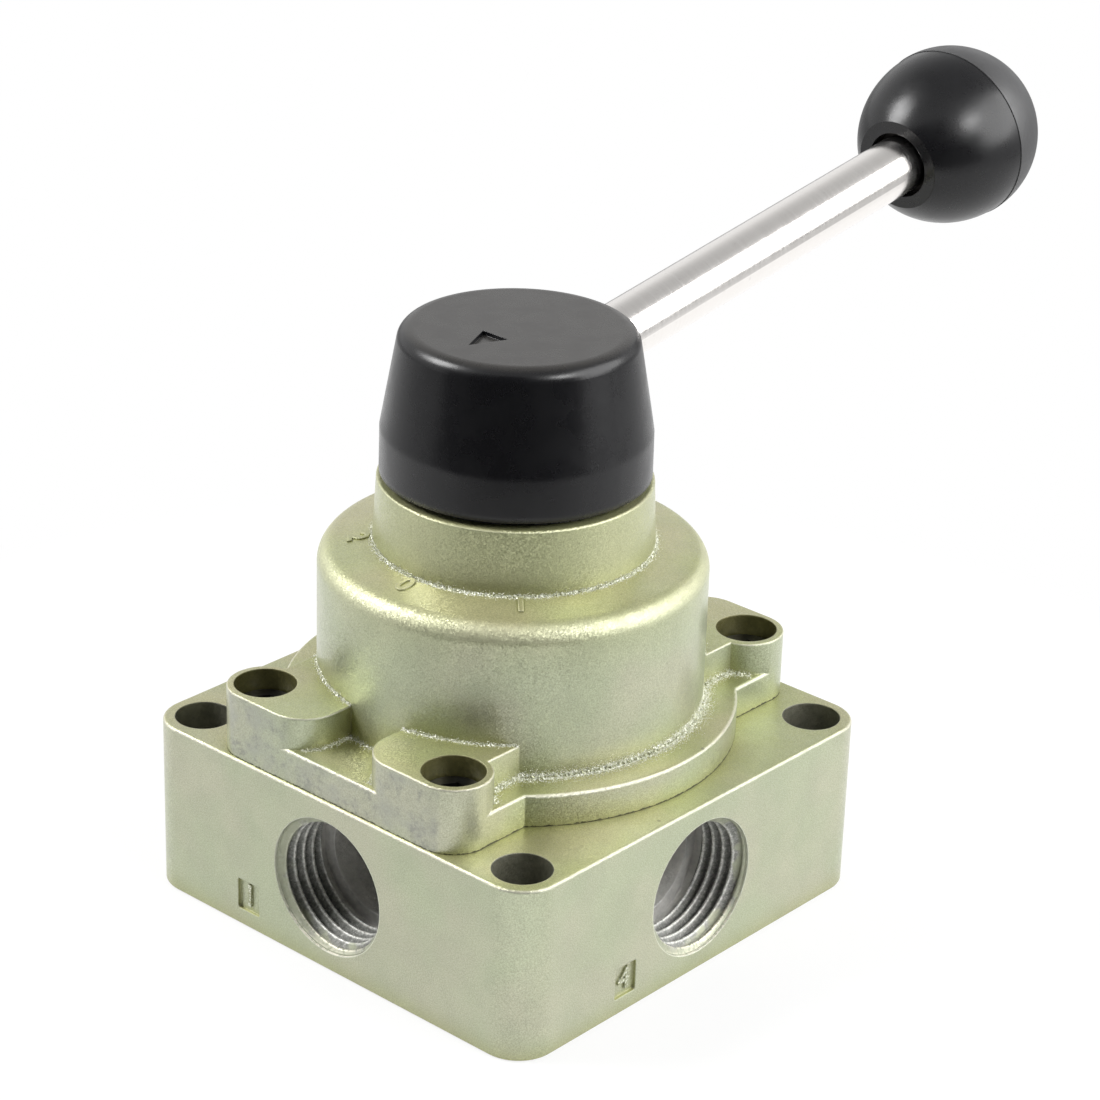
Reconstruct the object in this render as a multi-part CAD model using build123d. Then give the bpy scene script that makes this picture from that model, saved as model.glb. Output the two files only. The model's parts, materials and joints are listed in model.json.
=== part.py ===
from build123d import *
import math
import os

# Hand lever air valve: a four-port block, a bonnet over the rotary slide disc, and a lever on top.
# All sizes are in millimetres. The origin is the centre of the block's underside and +Z is up.
# The lever points along +Y at rest, away from the supply port on the -Y side.

# Fits, edges and tool allowances
running_gap = 0.05
loose_gap = 0.25
rod_gap = 0.30
edge_radius = 0.5
small_edge = 0.3
seal_rounding = 0.3
tap_runout = 1.0
cut_overrun = 1.0

# Ports in the four sides of the block
port_radius = 10.48
port_thread_depth = 9.9
port_step = 2.06
port_cover = 3.0
bore_web = 2.1
passage_radius = 3.8
passage_pitch_radius = 14.0
port_seal_width = 1.6
port_seal_height = 1.2

# Seat plate and slide disc
seat_rim = 1.7
seat_recess_depth = 3.0
seat_proud = 0.5
dowel_radius = 1.25
dowel_length = 4.6
disc_setback = 0.9
disc_thickness = 10.0
kidney_depth = 6.0
lever_swing = 45.0

# Rotor inside the bonnet
spring_gap = 9.0
spring_radius = 6.5
spring_wire = 1.6
spring_turns = 4.5
spring_seat_depth = 5.0
spring_seat_wall = 0.9
driver_thickness = 4.0
driver_width = 15.5
pin_radius = 2.0
pin_pitch_radius = 13.2
pin_wall = 1.3
pin_engagement = 5.0
washer_thickness = 1.0
washer_width = 3.6
shaft_radius = 7.0
shaft_seal_width = 1.6
shaft_seal_height = 1.8
square_side = 9.0
square_height = 13.6

# Bonnet casting
chamber_gap = 6.2
chamber_fillet = 2.5
bonnet_wall = 3.4
flange_lip = 5.0
flange_thickness = 5.0
bonnet_seal_width = 2.2
bonnet_seal_height = 1.7
bonnet_seal_inset = 2.0
ceiling_thickness = 4.5
shoulder_drop = 1.35
shoulder_fillet = 3.0
neck_radius = 19.8
neck_draft = 0.5
neck_height = 9.65
neck_wall = 2.1
neck_floor = 5.0
bush_boss_height = 2.5
bush_boss_wall = 1.5
bush_wall = 1.8
lug_height = 10.0
lug_inner_radius = 5.8
lug_inner_gap = 5.0
lug_relief = 1.45
lug_step = 0.05
boss_wall = 1.0

# Bonnet screws
screw_radius = 2.5
screw_head_radius = 4.25
screw_head_height = 5.0
screw_hex_radius = 2.3
screw_hex_depth = 2.6
counterbore_radius = 4.5
counterbore_depth = 8.0
screw_grip = 12.0
clearance_hole_gap = 0.25

# Block outline
base_margin = 4.3
base_corner_radius = 6.0
mount_hole_radius = 4.25
mount_hole_inset = 6.0
lug_hole_gap = 3.25
bonnet_setback = 0.5
label_offset = 16.0
label_height = 5.2
label_width = 4.4
label_tall = 4.9
label_depth = 0.5

# Detent between the hub and the bonnet's neck
ring_thickness = 1.9
ring_lip = 0.7
notch_depth = 1.0
detent_ball_radius = 2.5
detent_spring_length = 3.7
detent_spring_wire = 0.5
detent_spring_turns = 3.5
detent_rise = 2.8

# Hub and cap under the lever
hub_gap = 0.4
hub_skirt_gap = 0.3
cap_gap = 1.0
cap_bottom_radius = 19.45
cap_band_radius = 19.4
cap_top_radius = 16.8
cap_band_height = 6.5
cap_height = 21.4
cap_wall = 2.2
cap_top_wall = 2.4
cap_edge_radius = 2.3
arrow_half_width = 2.4
arrow_length = 5.5
arrow_start = 4.85
arrow_depth = 0.6
hub_screw_length = 16.0
hub_screw_bore_wall = 0.2

# Lever rod and ball knob, measured along the lever's own axis
lever_rise = 9.0
lever_height = 11.5
lever_reach = 101.8
rod_radius = 4.5
rod_spigot_radius = 3.9
rod_inner_end = 6.8
rod_spigot_length = 5.5
knob_radius = 13.8
knob_nose = 13.7
knob_face_radius = 7.2
knob_recess_radius = 5.3
knob_recess_depth = 2.2
knob_step = 0.1
insert_wall = 2.1
insert_length = 8.5
plug_radius = 8.0
plug_length = 1.5

# Sizes that follow from the ones above
port_bore_radius = port_radius - port_step
port_bore_end = port_bore_radius + bore_web
base_height = 2 * (port_radius + port_cover)
port_z = base_height / 2
seat_radius = passage_pitch_radius + passage_radius + seat_rim
disc_radius = seat_radius - disc_setback
chamber_radius = disc_radius + chamber_gap
dome_radius = chamber_radius + bonnet_wall
flange_radius = dome_radius + flange_lip
base_half = flange_radius + base_margin
mount_hole_xy = base_half - mount_hole_inset
boss_radius = counterbore_radius + boss_wall
screw_x = mount_hole_xy - mount_hole_radius - lug_hole_gap - boss_radius
screw_y = base_half - bonnet_setback - boss_radius
plate_half_x = screw_x + boss_radius
plate_half_y = screw_y + boss_radius
seal_inner_radius = chamber_radius + bonnet_seal_inset

recess_floor_z = base_height - seat_recess_depth
disc_z = base_height + seat_proud
disc_top_z = disc_z + disc_thickness
driver_z = disc_top_z + spring_gap
driver_top_z = driver_z + driver_thickness
ceiling_z = driver_top_z + washer_thickness
shoulder_z = ceiling_z + ceiling_thickness
neck_top_z = shoulder_z + neck_height
neck_floor_z = ceiling_z + neck_floor
boss_top_z = neck_floor_z + bush_boss_height
flange_top_z = base_height + flange_thickness
lug_top_z = base_height + lug_height
screw_seat_z = lug_top_z - counterbore_depth
bush_radius = shaft_radius + running_gap + bush_wall
shaft_seal_z = (ceiling_z + boss_top_z - shaft_seal_height) / 2
neck_bore_radius = neck_radius - neck_wall

hub_z = boss_top_z + hub_gap
ring_inner_radius = neck_bore_radius - ring_thickness
hub_skirt_radius = ring_inner_radius - hub_skirt_gap
square_top_z = hub_z + square_height
detent_z = hub_z + detent_rise
detent_ball_x = ring_inner_radius - detent_ball_radius - running_gap
detent_pocket_end = detent_ball_x - detent_ball_radius - detent_spring_length
cap_z = neck_top_z + cap_gap
cap_top_z = cap_z + cap_height
cap_ceiling_z = cap_top_z - cap_top_wall
cap_slope = (cap_band_radius - cap_top_radius) / (cap_height - cap_band_height)
cap_inner_top_radius = cap_top_radius + cap_slope * cap_top_wall - cap_wall
hub_screw_seat_z = cap_ceiling_z - screw_head_height - 2 * running_gap
lever_z = cap_z + lever_height
lever_frame = Pos(0, 0, lever_z) * Rot(lever_rise - 90, 0, 0)
lever_cut_end = cap_bottom_radius + rod_radius
insert_start = lever_reach - knob_nose + knob_recess_depth
insert_radius = rod_spigot_radius + insert_wall

quarter_turns = (0, 90, 180, 270)
screw_signs = ((1, 1), (1, -1), (-1, 1), (-1, -1))


def cylinder(radius, bottom, top):
    """An upright cylinder on the Z axis between two heights."""
    return Pos(0, 0, bottom) * extrude(Circle(radius), top - bottom)


def tube(outer, inner, bottom, top):
    """An upright tube on the Z axis between two heights."""
    return Pos(0, 0, bottom) * extrude(Circle(outer) - Circle(inner), top - bottom)


def seal_ring(inner, width, bottom, height):
    """A rubber ring whose section is a rectangle with well rounded corners."""
    section = Plane.XZ * (Pos(inner + width / 2, bottom + height / 2) * Rectangle(width, height))
    section = fillet(section.vertices(), seal_rounding * min(width, height))
    return revolve(section, Axis.Z)


def turned(*points):
    """A solid of revolution about Z from the (radius, height) points of its half section."""
    return revolve(Plane.XZ * make_face(Polyline(*points, close=True)), Axis.Z)


def coil(radius, wire, bottom, top, turns):
    """A coil spring on the Z axis whose wire lies between two heights."""
    height = top - bottom - wire
    path = Helix(height / turns, height, radius, center=(0, 0, bottom + wire / 2))
    section = Plane(origin=path @ 0, z_dir=path % 0) * Circle(wire / 2)
    return sweep(section, path=path, is_frenet=True)


def socket_screw(seat, length):
    """A hexagon socket screw on the Z axis, with its head standing on the given height."""
    head = cylinder(screw_head_radius, seat, seat + screw_head_height)
    head = fillet(head.edges().sort_by(Axis.Z)[-1], small_edge)
    head -= Pos(0, 0, seat + screw_head_height - screw_hex_depth) * extrude(
        RegularPolygon(screw_hex_radius, 6), screw_hex_depth
    )
    return head + cylinder(screw_radius, seat - length, seat)


def at_screws(shape):
    """Copies of a shape at the four bonnet screws."""
    return [Pos(sx * screw_x, sy * screw_y, 0) * shape for sx, sy in screw_signs]


def make_valve_base():
    """The square die-cast block with its ports, passages and seat recess."""
    outline = RectangleRounded(2 * base_half, 2 * base_half, base_corner_radius)
    block = extrude(outline, base_height)
    rims = block.edges().group_by(Axis.Z)
    block = fillet(rims[0] + rims[-1], edge_radius)

    thread = Pos(0, -base_half, port_z) * Rot(-90, 0, 0) * extrude(Circle(port_radius), port_thread_depth)
    bore_length = base_half - port_bore_end
    bore = Pos(0, -base_half, port_z) * Rot(-90, 0, 0) * extrude(Circle(port_bore_radius), bore_length)
    riser = Pos(0, -passage_pitch_radius, 0) * cylinder(passage_radius, port_z, recess_floor_z)
    pocket_radius = passage_radius + port_seal_width
    seal_pocket = Pos(0, -passage_pitch_radius, 0) * cylinder(
        pocket_radius, recess_floor_z - port_seal_height, recess_floor_z
    )
    label = Pos(-label_offset, label_depth - base_half, label_height) * Rot(90, 0, 0) * extrude(
        RectangleRounded(label_width, label_tall, small_edge), 2 * label_depth
    )
    for angle in quarter_turns:
        block -= Rot(0, 0, angle) * (thread + bore + riser + seal_pocket)
        block -= Rot(0, 0, angle) * label

    block -= cylinder(seat_radius, recess_floor_z, base_height)
    groove_outer = seal_inner_radius + bonnet_seal_width
    block -= tube(groove_outer, seal_inner_radius, base_height - bonnet_seal_height, base_height)
    for sx, sy in screw_signs:
        block -= Pos(sx * mount_hole_xy, sy * mount_hole_xy, 0) * cylinder(mount_hole_radius, 0, base_height)
    tapped_hole = cylinder(screw_radius, screw_seat_z - screw_grip - tap_runout, base_height)
    for hole in at_screws(tapped_hole):
        block -= hole
    block -= make_seat_dowels()
    return block


def make_seat_dowels():
    """Two pins that stop the seat plate from turning, midway between the passages."""
    x = passage_pitch_radius * math.cos(math.radians(45))
    start = recess_floor_z - dowel_length / 2
    pin = cylinder(dowel_radius, start, start + dowel_length)
    return Pos(x, x, 0) * pin + Pos(-x, -x, 0) * pin


def make_seat_plate():
    """The lapped plate that the slide disc turns on, with one hole for each port."""
    plate = cylinder(seat_radius - running_gap, recess_floor_z, disc_z)
    for angle in quarter_turns:
        plate -= Rot(0, 0, angle) * Pos(0, -passage_pitch_radius, 0) * cylinder(
            passage_radius, recess_floor_z, disc_z
        )
    return plate - make_seat_dowels()


def make_port_seals():
    """Four rubber rings that seal the seat plate to the block."""
    width = port_seal_width - running_gap
    ring = seal_ring(passage_radius, width, recess_floor_z - port_seal_height, port_seal_height)
    rings = [Rot(0, 0, angle) * Pos(0, -passage_pitch_radius, 0) * ring for angle in quarter_turns]
    return Compound(rings)


def make_bonnet_seal():
    """The ring between the block and the bonnet's flange."""
    inner = seal_inner_radius + running_gap
    width = bonnet_seal_width - 2 * running_gap
    return seal_ring(inner, width, base_height - bonnet_seal_height, bonnet_seal_height)


def make_bonnet_lug(sx, sy):
    """One screw lug in the corner with these signs, its walls a hair proud of the flange's edge."""
    width = screw_x - lug_inner_gap
    depth = plate_half_y + lug_step
    web = Pos(sx * (lug_inner_gap + width / 2), sy * depth / 2) * Rectangle(width, depth)
    corner = web.vertices().sort_by_distance((sx * lug_inner_gap, sy * depth, 0))[0]
    rib = Pos(sx * screw_x, sy * screw_y / 2) * Rectangle(2 * lug_relief, screw_y)
    boss = Pos(sx * screw_x, sy * screw_y) * Circle(boss_radius + lug_step)
    lug = Pos(0, 0, base_height) * extrude(fillet(corner, lug_inner_radius) + rib + boss, lug_height)
    return fillet(lug.edges().group_by(Axis.Z)[-1], small_edge)


def make_bonnet():
    """The die-cast bonnet: flange, lugs, dome and neck over the slide chamber."""
    plate = RectangleRounded(2 * plate_half_x, 2 * plate_half_y, boss_radius)
    flange = Pos(0, 0, base_height) * extrude(plate + Circle(flange_radius), flange_thickness)
    flange = fillet(flange.edges().group_by(Axis.Z)[-1], edge_radius)

    dome = turned(
        (0, base_height),
        (dome_radius, base_height),
        (dome_radius, shoulder_z - shoulder_drop),
        (neck_radius + neck_draft, shoulder_z),
        (neck_radius, neck_top_z),
        (0, neck_top_z),
    )
    rims = dome.edges().filter_by(GeomType.CIRCLE)
    shoulder = rims.sort_by_distance((dome_radius, 0, shoulder_z - shoulder_drop))[0]
    dome = fillet(shoulder, shoulder_fillet)
    rim = dome.edges().filter_by(GeomType.CIRCLE).sort_by(Axis.Z)[-1]
    dome = fillet(rim, small_edge)

    bonnet = flange + dome
    for sx, sy in screw_signs:
        bonnet += make_bonnet_lug(sx, sy)

    chamber = cylinder(chamber_radius, base_height, ceiling_z)
    chamber = fillet(chamber.edges().sort_by(Axis.Z)[-1], chamber_fillet)
    bonnet -= chamber
    bonnet -= tube(neck_bore_radius, bush_radius + bush_boss_wall, neck_floor_z, boss_top_z)
    bonnet -= cylinder(neck_bore_radius, boss_top_z, neck_top_z)
    bonnet -= cylinder(bush_radius, ceiling_z, boss_top_z)

    hole = cylinder(counterbore_radius, screw_seat_z, lug_top_z)
    hole += cylinder(screw_radius + clearance_hole_gap, base_height, screw_seat_z)
    for cut in at_screws(hole):
        bonnet -= cut
    return bonnet


def make_bonnet_screws():
    """The four socket screws that hold the bonnet to the block."""
    return Compound(at_screws(socket_screw(screw_seat_z, screw_grip)))


def make_shaft_bush():
    """The plain bearing in the bonnet's ceiling."""
    return tube(bush_radius, shaft_radius + running_gap, ceiling_z, boss_top_z)


def make_detent_ring():
    """The hardened ring in the neck, with a notch at each of the three lever positions."""
    ring = tube(neck_bore_radius, ring_inner_radius, neck_floor_z, neck_top_z - ring_lip)
    notch_radius = detent_ball_radius + running_gap
    notch = Pos(detent_ball_x + notch_depth, 0, 0) * cylinder(notch_radius, neck_floor_z, neck_top_z)
    for side in (0, 180):
        for angle in (-lever_swing, 0, lever_swing):
            ring -= Rot(0, 0, side + angle) * notch
    return ring


def make_slide_disc():
    """The rotary disc whose two kidney pockets join neighbouring ports."""
    disc = cylinder(disc_radius, disc_z, disc_top_z)
    disc = chamfer(disc.edges().sort_by(Axis.Z)[-1], edge_radius)
    for middle in (-90, 90):
        line = CenterArc((0, 0), passage_pitch_radius, middle - lever_swing, 2 * lever_swing)
        disc -= Pos(0, 0, disc_z) * extrude(SlotArc(line, 2 * passage_radius), kidney_depth)
    seat = spring_radius + spring_wire / 2 + spring_seat_wall
    disc -= cylinder(seat, disc_top_z - spring_seat_depth, disc_top_z)
    hole = cylinder(pin_radius + running_gap, disc_top_z - pin_engagement, disc_top_z)
    for side in (-1, 1):
        disc -= Pos(side * pin_pitch_radius, 0, 0) * hole
    return disc


def make_drive_pins():
    """The two pins that turn the disc with the shaft and let it float up and down."""
    pin = cylinder(pin_radius, disc_top_z - pin_engagement + running_gap, driver_top_z)
    pin = chamfer(pin.edges().sort_by(Axis.Z)[0], small_edge)
    return Compound([Pos(side * pin_pitch_radius, 0, 0) * pin for side in (-1, 1)])


def make_shaft():
    """The driving shaft, with a long driver plate below and a square end above."""
    end_radius = pin_radius + pin_wall
    plate_length = 2 * (pin_pitch_radius + end_radius)
    plate = SlotOverall(plate_length, 2 * end_radius) + Circle(driver_width / 2)
    shaft = Pos(0, 0, driver_z) * extrude(plate, driver_thickness)
    shaft += cylinder(shaft_radius, driver_z, hub_z)
    square = Pos(0, 0, hub_z) * extrude(Rectangle(square_side, square_side), square_height)
    shaft += chamfer(square.edges().group_by(Axis.Z)[-1], small_edge)
    groove_floor = shaft_radius - shaft_seal_width
    shaft -= tube(shaft_radius + cut_overrun, groove_floor, shaft_seal_z, shaft_seal_z + shaft_seal_height)
    tap_end = hub_screw_seat_z - hub_screw_length - tap_runout
    shaft -= cylinder(screw_radius, tap_end, square_top_z)
    for side in (-1, 1):
        shaft -= Pos(side * pin_pitch_radius, 0, 0) * cylinder(pin_radius, driver_z, driver_top_z)
    return shaft


def make_shaft_seal():
    """The ring in the shaft's groove that keeps the air in the chamber."""
    groove_floor = shaft_radius - shaft_seal_width
    return seal_ring(groove_floor, shaft_seal_width, shaft_seal_z, shaft_seal_height)


def make_thrust_washer():
    """The washer between the driver plate and the bonnet's ceiling."""
    inner = shaft_radius + running_gap
    return tube(inner + washer_width, inner, driver_top_z, ceiling_z)


def make_disc_spring():
    """The spring that presses the slide disc on its seat."""
    return coil(spring_radius, spring_wire, disc_top_z - spring_seat_depth, driver_z, spring_turns)


def make_rotor_hub():
    """The metal hub on the shaft's square, which holds the lever rod and the detent."""
    band_z = cap_z + cap_band_height
    band_radius = cap_band_radius - cap_wall - loose_gap
    hub = turned(
        (0, hub_z),
        (hub_skirt_radius, hub_z),
        (hub_skirt_radius, cap_z),
        (band_radius, cap_z),
        (band_radius, band_z),
        (cap_inner_top_radius - loose_gap, cap_ceiling_z),
        (0, cap_ceiling_z),
    )
    socket = Rectangle(square_side + 2 * running_gap, square_side + 2 * running_gap)
    hub -= Pos(0, 0, hub_z) * extrude(socket, square_height + running_gap)
    hub -= cylinder(screw_radius + clearance_hole_gap, square_top_z, hub_screw_seat_z)
    hub -= cylinder(screw_head_radius + hub_screw_bore_wall, hub_screw_seat_z, cap_ceiling_z)
    pocket_length = hub_skirt_radius - detent_pocket_end + cut_overrun
    pocket = Pos(detent_pocket_end, 0, detent_z) * Rot(0, 90, 0) * extrude(
        Circle(detent_ball_radius + running_gap), pocket_length
    )
    hub -= pocket
    hub -= Rot(0, 0, 180) * pocket
    hub -= lever_frame * cylinder(rod_spigot_radius, rod_inner_end, lever_cut_end)
    hub -= lever_frame * cylinder(rod_radius, rod_inner_end + rod_spigot_length, lever_cut_end)
    return hub


def make_hub_screw():
    """The screw down through the hub into the shaft's end."""
    return socket_screw(hub_screw_seat_z, hub_screw_length)


def make_knob_cap():
    """The black cap over the hub, with a pointer sunk in its top."""
    band_z = cap_z + cap_band_height
    cap = turned(
        (0, cap_z),
        (cap_bottom_radius, cap_z),
        (cap_band_radius, band_z),
        (cap_top_radius, cap_top_z),
        (0, cap_top_z),
    )
    rims = cap.edges().filter_by(GeomType.CIRCLE).sort_by(Axis.Z)
    cap = fillet(rims[-1], cap_edge_radius)
    cap -= turned(
        (0, cap_z),
        (cap_band_radius - cap_wall, cap_z),
        (cap_band_radius - cap_wall, band_z),
        (cap_inner_top_radius, cap_ceiling_z),
        (0, cap_ceiling_z),
    )
    pointer = make_face(
        Polyline(
            (-arrow_half_width, -arrow_start),
            (arrow_half_width, -arrow_start),
            (0, -arrow_start - arrow_length),
            close=True,
        )
    )
    cap -= Pos(0, 0, cap_top_z - arrow_depth) * extrude(pointer, arrow_depth)
    cap -= lever_frame * cylinder(rod_radius + rod_gap, rod_inner_end, lever_cut_end)
    return cap


def make_lever_rod():
    """The plated rod, with a smaller threaded end in the hub and in the ball."""
    rod = cylinder(rod_spigot_radius, rod_inner_end, insert_start + insert_length)
    rod += cylinder(rod_radius, rod_inner_end + rod_spigot_length, insert_start)
    return lever_frame * rod


def make_ball_knob():
    """The front of the ball knob, with a flat face and a recess where the rod enters."""
    seam = (knob_radius, lever_reach)
    face = (knob_face_radius, lever_reach - knob_nose)
    side = TangentArc(seam, face, tangent=(0, -1))
    rest = Polyline(face, (0, lever_reach - knob_nose), (0, lever_reach), seam)
    knob = revolve(Plane.XZ * make_face(side + rest), Axis.Z)
    knob -= cylinder(knob_recess_radius, lever_reach - knob_nose, insert_start)
    knob -= cylinder(insert_radius, insert_start, insert_start + insert_length)
    knob -= cylinder(plug_radius, lever_reach - plug_length, lever_reach)
    return lever_frame * knob


def make_knob_insert():
    """The brass bush moulded into the ball, which takes the rod's threaded end."""
    return lever_frame * tube(insert_radius, rod_spigot_radius, insert_start, insert_start + insert_length)


def make_knob_end():
    """The far half of the ball, a separate moulding that plugs into the front."""
    end_radius = knob_radius + knob_step
    dome = Pos(0, 0, lever_reach) * Sphere(end_radius)
    dome &= cylinder(end_radius + cut_overrun, lever_reach, lever_reach + end_radius + cut_overrun)
    return lever_frame * (dome + cylinder(plug_radius, lever_reach - plug_length, lever_reach))


def make_detent_ball(side):
    """One steel ball of the detent, on the +X side for 1 and on the -X side for -1."""
    return Pos(side * detent_ball_x, 0, detent_z) * Sphere(detent_ball_radius)


def make_detent_spring(side):
    """The spring behind one detent ball."""
    radius = detent_ball_radius - detent_spring_wire
    spring = coil(radius, detent_spring_wire, 0, detent_spring_length, detent_spring_turns)
    turn = Rot(0, 90 * side, 0)
    return Pos(side * detent_pocket_end, 0, detent_z) * turn * spring


nodes = {
    "valve_base": make_valve_base(),
    "seat_plate": make_seat_plate(),
    "seat_dowels": make_seat_dowels(),
    "port_seals": make_port_seals(),
    "bonnet_seal": make_bonnet_seal(),
    "bonnet": make_bonnet(),
    "bonnet_screws": make_bonnet_screws(),
    "shaft_bush": make_shaft_bush(),
    "detent_ring": make_detent_ring(),
    "slide_disc": make_slide_disc(),
    "disc_spring": make_disc_spring(),
    "drive_pins": make_drive_pins(),
    "shaft": make_shaft(),
    "shaft_seal": make_shaft_seal(),
    "thrust_washer": make_thrust_washer(),
    "rotor_hub": make_rotor_hub(),
    "hub_screw": make_hub_screw(),
    "knob_cap": make_knob_cap(),
    "lever_rod": make_lever_rod(),
    "ball_knob": make_ball_knob(),
    "knob_insert": make_knob_insert(),
    "knob_end": make_knob_end(),
    "detent_ball_right": make_detent_ball(1),
    "detent_ball_left": make_detent_ball(-1),
    "detent_spring_right": make_detent_spring(1),
    "detent_spring_left": make_detent_spring(-1),
}

os.makedirs("parts", exist_ok=True)
for name, shape in nodes.items():
    export_step(shape, "parts/" + name + ".step")
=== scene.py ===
import json
import math
import random

import bmesh
import bpy
from mathutils import Matrix, Vector


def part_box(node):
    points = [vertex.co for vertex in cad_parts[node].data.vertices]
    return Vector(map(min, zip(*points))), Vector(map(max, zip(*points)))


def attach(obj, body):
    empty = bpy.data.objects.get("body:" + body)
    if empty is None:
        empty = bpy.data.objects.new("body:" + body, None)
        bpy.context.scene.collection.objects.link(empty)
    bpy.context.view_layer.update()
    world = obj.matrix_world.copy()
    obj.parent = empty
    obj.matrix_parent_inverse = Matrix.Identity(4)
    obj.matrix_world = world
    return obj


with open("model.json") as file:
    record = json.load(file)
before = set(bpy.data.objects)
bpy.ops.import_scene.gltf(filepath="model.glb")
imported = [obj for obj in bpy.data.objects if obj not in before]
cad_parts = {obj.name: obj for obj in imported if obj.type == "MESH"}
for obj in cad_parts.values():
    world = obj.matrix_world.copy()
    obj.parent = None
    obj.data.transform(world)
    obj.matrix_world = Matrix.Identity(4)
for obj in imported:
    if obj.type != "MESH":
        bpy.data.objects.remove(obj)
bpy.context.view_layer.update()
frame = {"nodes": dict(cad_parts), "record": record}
nodes = frame["nodes"]
mounts = {m["name"]: m for m in frame["record"]["mounts"]}

# Everything below is in metres, and MM turns a size in millimetres into metres. Angles are in degrees
# until they are used.
MM = 0.001
BODY = "valve_body"

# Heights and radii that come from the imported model
base_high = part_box("valve_base")[1]
base_half = base_high.x
base_top = base_high.z
bonnet_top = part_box("bonnet")[1].z
port = mounts["port_1"]
port_radius = port["dims"]["r_mm"] * MM
port_z = port["pos_m"][2]
holes = mounts["mounting_holes"]["dims"]
mount_hole_xy = holes["spacing_x_mm"] * MM / 2
mount_hole_radius = holes["hole_r_mm"] * MM
cap_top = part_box("knob_cap")[1].z

# Where the numbers stand round the part: on the ports and on the bonnet's shoulder
port_azimuths = {"1": 0, "4": 90, "3": 180, "2": 270}
position_azimuths = {"2": -135, "0": -90, "1": -45}

# Casting features of the bonnet, as measured on the photo
dome_radius = 28.2 * MM
flange_top = base_top + 5.0 * MM
lug_top = base_top + 10.0 * MM
shoulder_top = 55.96 * MM
shoulder_slope = 9.7
neck_foot_radius = 20.3 * MM
lug_inner_x = 5.0 * MM
lug_relief_x = 19.95 * MM
lug_corner_radius = 5.8 * MM
lug_middle_x = 12.5 * MM
lug_middle_y = 30.0 * MM
plate_half_y = 37.0 * MM
screw_x = 18.5 * MM
screw_y = 31.5 * MM
counterbore_radius = 4.5 * MM

# The lug's outer wall runs into the round of the boss: how far before the screw, and between which azimuths
boss_radius = 5.5 * MM
boss_start_before_screw = 5.3 * MM
boss_start = -74.7
boss_stop = -42.0

# The bead of paint in each kind of inner corner: its radius, the spread of the loose grains beside it, both
# in millimetres, and the number of grains for each step of its path
path_step = 0.18 * MM
beads = {
    "neck": (0.22, 0.26, 12),
    "foot": (0.32, 0.62, 34),
    "gap": (0.18, 0.3, 8),
    "top": (0.16, 0.26, 8),
    "wall": (0.28, 0.5, 18),
    "inner": (0.20, 0.3, 9),
}
bead_sides = 7
# The radius of the smallest and the largest grain in millimetres
grain_sizes = (0.06, 0.17)
# How much wider the loose grains spread over the floor of a corner than up its wall
floor_share = 1.4

# Thread of the ports: G 1/2, over the first 8.6 mm of each bore
thread_pitch = 25.4 / 14 * MM
thread_crest_radius = 9.32 * MM
thread_root_radius = port_radius - 0.08 * MM
thread_outer_radius = port_radius - 0.01 * MM
thread_start = 0.4 * MM
thread_stop = 8.6 * MM
thread_runout = 0.7 * MM
# Where round the port the thread begins, as a share of one turn
first_turn = 0.6
# The crest is a triangle wave that is stretched, and cut off flat at both ends
crest_stretch = 1.22
crest_offset = 0.06

# Camera of the photograph, in a frame of 1100 by 1100 pixels
frame_pixels = 1100
focal_pixels = 3388.9
principal_pixel = (556.7, 567.3)
camera_place = Vector((0.29564, -0.32788, 0.25671))
camera_azimuth = 41.23
camera_elevation = 24.96
camera_roll = 1.855
sensor_width = 36.0

# The soft lights look at one point. Each has a direction from there, a distance and a size in metres, and a
# power in watts
light_aim = Vector((0, 0.01, 0.05))
soft_lights = (
    ("softbox_left", (-0.589, -0.444, 0.674), 0.90, (0.42, 0.42), 7.5),
    ("softbox_right", (0.759, -0.054, 0.648), 0.85, (0.25, 0.25), 1.8),
    ("panel_right", (0.80, 0.373, 0.469), 0.90, (1.35, 0.80), 11.5),
)

floor_half = 6.0
floor_below = 0.05 * MM
# The floor's paper is pale up to the first distance from the part's middle and grey from the second on
paper_pale_to = 0.14
paper_grey_from = 0.42
paper_pale = (0.86, 0.86, 0.86)
paper_grey = (0.2, 0.2, 0.2)

# The dark screen stands this far from the part on the camera's side. It is high on the left and steps down
# to the right, and its mat lies on the floor before it
flag_distance = 0.25
flag_left = -0.6
flag_right = 0.42
flag_low = 0.25
flag_high = 0.42
flag_step_from = 0.05
flag_step_to = 0.15
mat_start = 0.15
mat_dark_from = 0.175
mat_height = 0.5 * MM


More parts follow.
